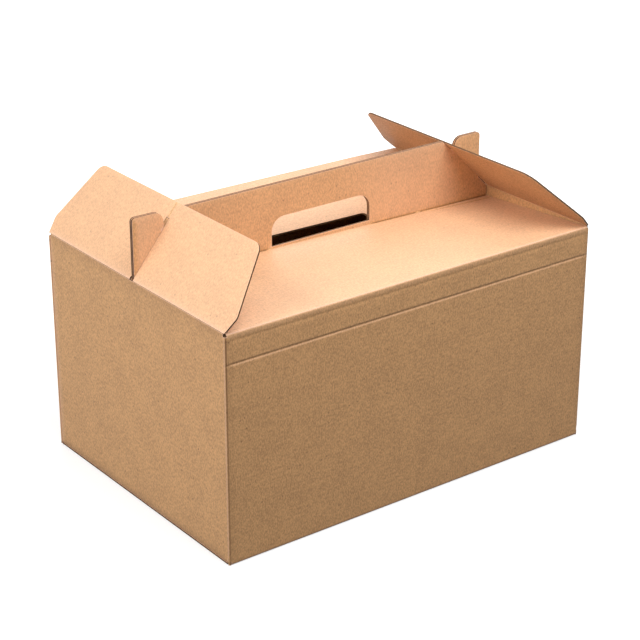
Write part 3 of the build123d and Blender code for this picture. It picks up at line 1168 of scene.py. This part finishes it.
def cut_fluting(finish):
    """Die-cut edge of corrugated board: two liners with a wavy medium between them.

    The eye sees two light lines with a darker wave and shadowed hollows between them.
    The glued corner's edge and the one that fills a slot's end sit in shade and are painted pale,
    as if lit, and painted shade darkens the cut edges beside the ears, in creases and at the
    floor. The map gives depth through the board and height up the sheet.
    """
    material, tree = new_material("cut_fluting")
    sheet = add(tree, "ShaderNodeUVMap", uv_map="sheet").outputs[0]
    split = add(tree, "ShaderNodeSeparateXYZ", {0: sheet}).outputs
    middle = maths(tree, "SUBTRACT", split[0], HALF_BOARD)
    wave = maths(tree, "SINE", maths(tree, "MULTIPLY", split[1], 2 * math.pi / finish.pitch))
    off = maths(tree, "SUBTRACT", middle, maths(tree, "MULTIPLY", wave, WAVE_SWING))
    hollow = remap(tree, maths(tree, "ABSOLUTE", off), *WAVE_EDGES)
    liner = remap(tree, maths(tree, "ABSOLUTE", middle), *LINER_EDGES)
    inside = blend(tree, hollow, (*finish.medium, 1), (*finish.hollow, 1))
    section = blend(tree, liner, inside, (*finish.fibre, 1))
    tone = add(tree, "ShaderNodeAttribute", attribute_name="tone").outputs["Fac"]
    # Painted light: cut edges with a high tone, at the glued corner and at a slot's end, are
    # painted in the liner's colour over their shade
    section = blend(tree, remap(tree, tone, 0.35, 0.75, 0.0, 0.85), section, (*finish.liner, 1))
    # Painted shade: cut edges with a low tone, beside the ears, in creases and at the floor, are
    # painted in the hollow's dark colour
    section = blend(tree, remap(tree, tone, -0.1, -0.7, 0.0, 0.8), section, (*finish.hollow, 1))
    edge = {"Base Color": section, "Roughness": 0.85, "IOR": 1.5}
    shader = add(tree, "ShaderNodeBsdfPrincipled", edge)
    add(tree, "ShaderNodeOutputMaterial", {"Surface": shader.outputs[0]})
    return material


def seen_directly(tree):
    """1 for rays from the camera, a mirror or glass, and 0 for light on the box."""
    path = add(tree, "ShaderNodeLightPath").outputs
    shiny = maths(tree, "MAXIMUM", path["Is Glossy Ray"], path["Is Transmission Ray"])
    return maths(tree, "MAXIMUM", path["Is Camera Ray"], shiny)


def studio_floor(studio):
    """Matt white paper sweep, which keeps a faint shadow of the box.

    The camera sees its own glow, which is less within half a metre of the box, with the
    light that falls on it. It throws less light back on the box than it shows.
    """
    material, tree = new_material("white_paper_sweep")
    place = add(tree, "ShaderNodeNewGeometry").outputs["Position"]
    away = add(tree, "ShaderNodeVectorMath", {0: place}, operation="LENGTH").outputs["Value"]
    strength = remap(tree, away, *GLOW_REACH, *GLOW_STRENGTH)
    glow = add(tree, "ShaderNodeEmission", {"Color": (*studio.floor, 1), "Strength": strength})
    lit = tuple(FLOOR_LIT * part for part in studio.floor)
    paper = add(tree, "ShaderNodeBsdfDiffuse", {"Color": (*lit, 1)})
    shown = add(tree, "ShaderNodeAddShader", {0: glow.outputs[0], 1: paper.outputs[0]})
    bounce = add(tree, "ShaderNodeBsdfDiffuse", {"Color": (*studio.bounce, 1)})
    rays = {0: seen_directly(tree), 1: bounce.outputs[0], 2: shown.outputs[0]}
    both = add(tree, "ShaderNodeMixShader", rays)
    add(tree, "ShaderNodeOutputMaterial", {"Surface": both.outputs[0]})
    return material


class TAKEAWAYBOX_OT_studio(Operator):
    """Set up the white floor, the even sky, the lamps and the camera"""

    bl_idname = "takeaway_box.studio"
    bl_label = "Set up studio"

    def execute(self, context):
        scene = context.scene
        studio = scene.takeaway_studio
        scene.view_settings.view_transform = "Standard"
        self.make_floor(scene, studio)
        self.make_sky(scene, studio)
        self.make_lamps(scene, studio)
        self.make_camera(scene, studio)
        return {"FINISHED"}

    def make_floor(self, scene, studio):
        """Level square under the box."""
        signs = ((-1, -1), (1, -1), (1, 1), (-1, 1))
        mesh = bpy.data.meshes.new("floor")
        corners = [(FLOOR_HALF * x, FLOOR_HALF * y, 0) for x, y in signs]
        mesh.from_pydata(corners, [], [(0, 1, 2, 3)])
        mesh.materials.append(studio_floor(studio))
        floor = bpy.data.objects.new("floor", mesh)
        scene.collection.objects.link(floor)

    def make_sky(self, scene, studio):
        """Even grey light, which the camera and reflections see as white."""
        world = bpy.data.worlds.new("sky")
        world.use_nodes = True
        tree = world.node_tree
        tree.nodes.clear()
        strength = remap(tree, seen_directly(tree), 0.0, 1.0, studio.sky, 1.0)
        white = {"Color": (1, 1, 1, 1), "Strength": strength}
        background = add(tree, "ShaderNodeBackground", white)
        add(tree, "ShaderNodeOutputWorld", {"Surface": background.outputs[0]})
        scene.world = world

    def make_lamps(self, scene, studio):
        """Square soft lamps beyond the left end, above the front panel, and behind."""
        for name, (size, place, aim) in LAMPS.items():
            data = bpy.data.lights.new(name, "AREA")
            data.energy = getattr(studio, f"{name}_power")
            data.size = size
            lamp = bpy.data.objects.new(name, data)
            scene.collection.objects.link(lamp)
            lamp.location = place
            beam = Vector(aim) - Vector(place)
            lamp.rotation_euler = beam.to_track_quat("-Z", "Y").to_euler()

    def make_camera(self, scene, studio):
        """Camera in front of the left end, tipped down, with level sides."""
        data = bpy.data.cameras.new("camera")
        data.sensor_width = 36.0
        data.lens = studio.camera_lens
        camera = bpy.data.objects.new("camera", data)
        scene.collection.objects.link(camera)
        camera.location = CAMERA_PLACE
        camera.rotation_euler = (math.pi / 2 - studio.camera_pitch, 0, -studio.camera_yaw)
        scene.camera = camera


class TAKEAWAYBOX_PT_sidebar(Panel):
    """Steps that build the box, in order"""

    bl_idname = "TAKEAWAYBOX_PT_sidebar"
    bl_label = "Takeaway Food Box"
    bl_space_type = "VIEW_3D"
    bl_region_type = "UI"
    bl_category = "Food Box"

    def draw(self, context):
        column = self.layout.column()
        column.operator(TAKEAWAYBOX_OT_carton.bl_idname)
        column.operator(TAKEAWAYBOX_OT_end_flaps.bl_idname)
        column.operator(TAKEAWAYBOX_OT_studio.bl_idname)
        for group in PROPERTY_GROUPS:
            settings = getattr(context.scene, group)
            column.separator()
            for name in settings.__annotations__:
                column.prop(settings, name)


PROPERTY_GROUPS = {
    "takeaway_box": BoxSizes,
    "takeaway_handle": HandleSizes,
    "takeaway_flaps": FlapSizes,
    "takeaway_finish": BoardFinish,
    "takeaway_studio": StudioSettings,
}
CLASSES = (
    *PROPERTY_GROUPS.values(),
    TAKEAWAYBOX_OT_carton,
    TAKEAWAYBOX_OT_end_flaps,
    TAKEAWAYBOX_OT_studio,
    TAKEAWAYBOX_PT_sidebar,
)


def register():
    """Adds the classes, and the settings to each scene."""
    for kind in CLASSES:
        bpy.utils.register_class(kind)
    for name, group in PROPERTY_GROUPS.items():
        setattr(bpy.types.Scene, name, PointerProperty(type=group))


def unregister():
    """Takes the settings and the classes away again."""
    for name in PROPERTY_GROUPS:
        delattr(bpy.types.Scene, name)
    for kind in reversed(CLASSES):
        bpy.utils.unregister_class(kind)


def main():
    """Builds the box and the studio."""
    register()
    bpy.ops.takeaway_box.studio()
    bpy.ops.takeaway_box.carton()
    bpy.ops.takeaway_box.end_flaps()
    bpy.context.view_layer.update()


if __name__ == "__main__":
    main()
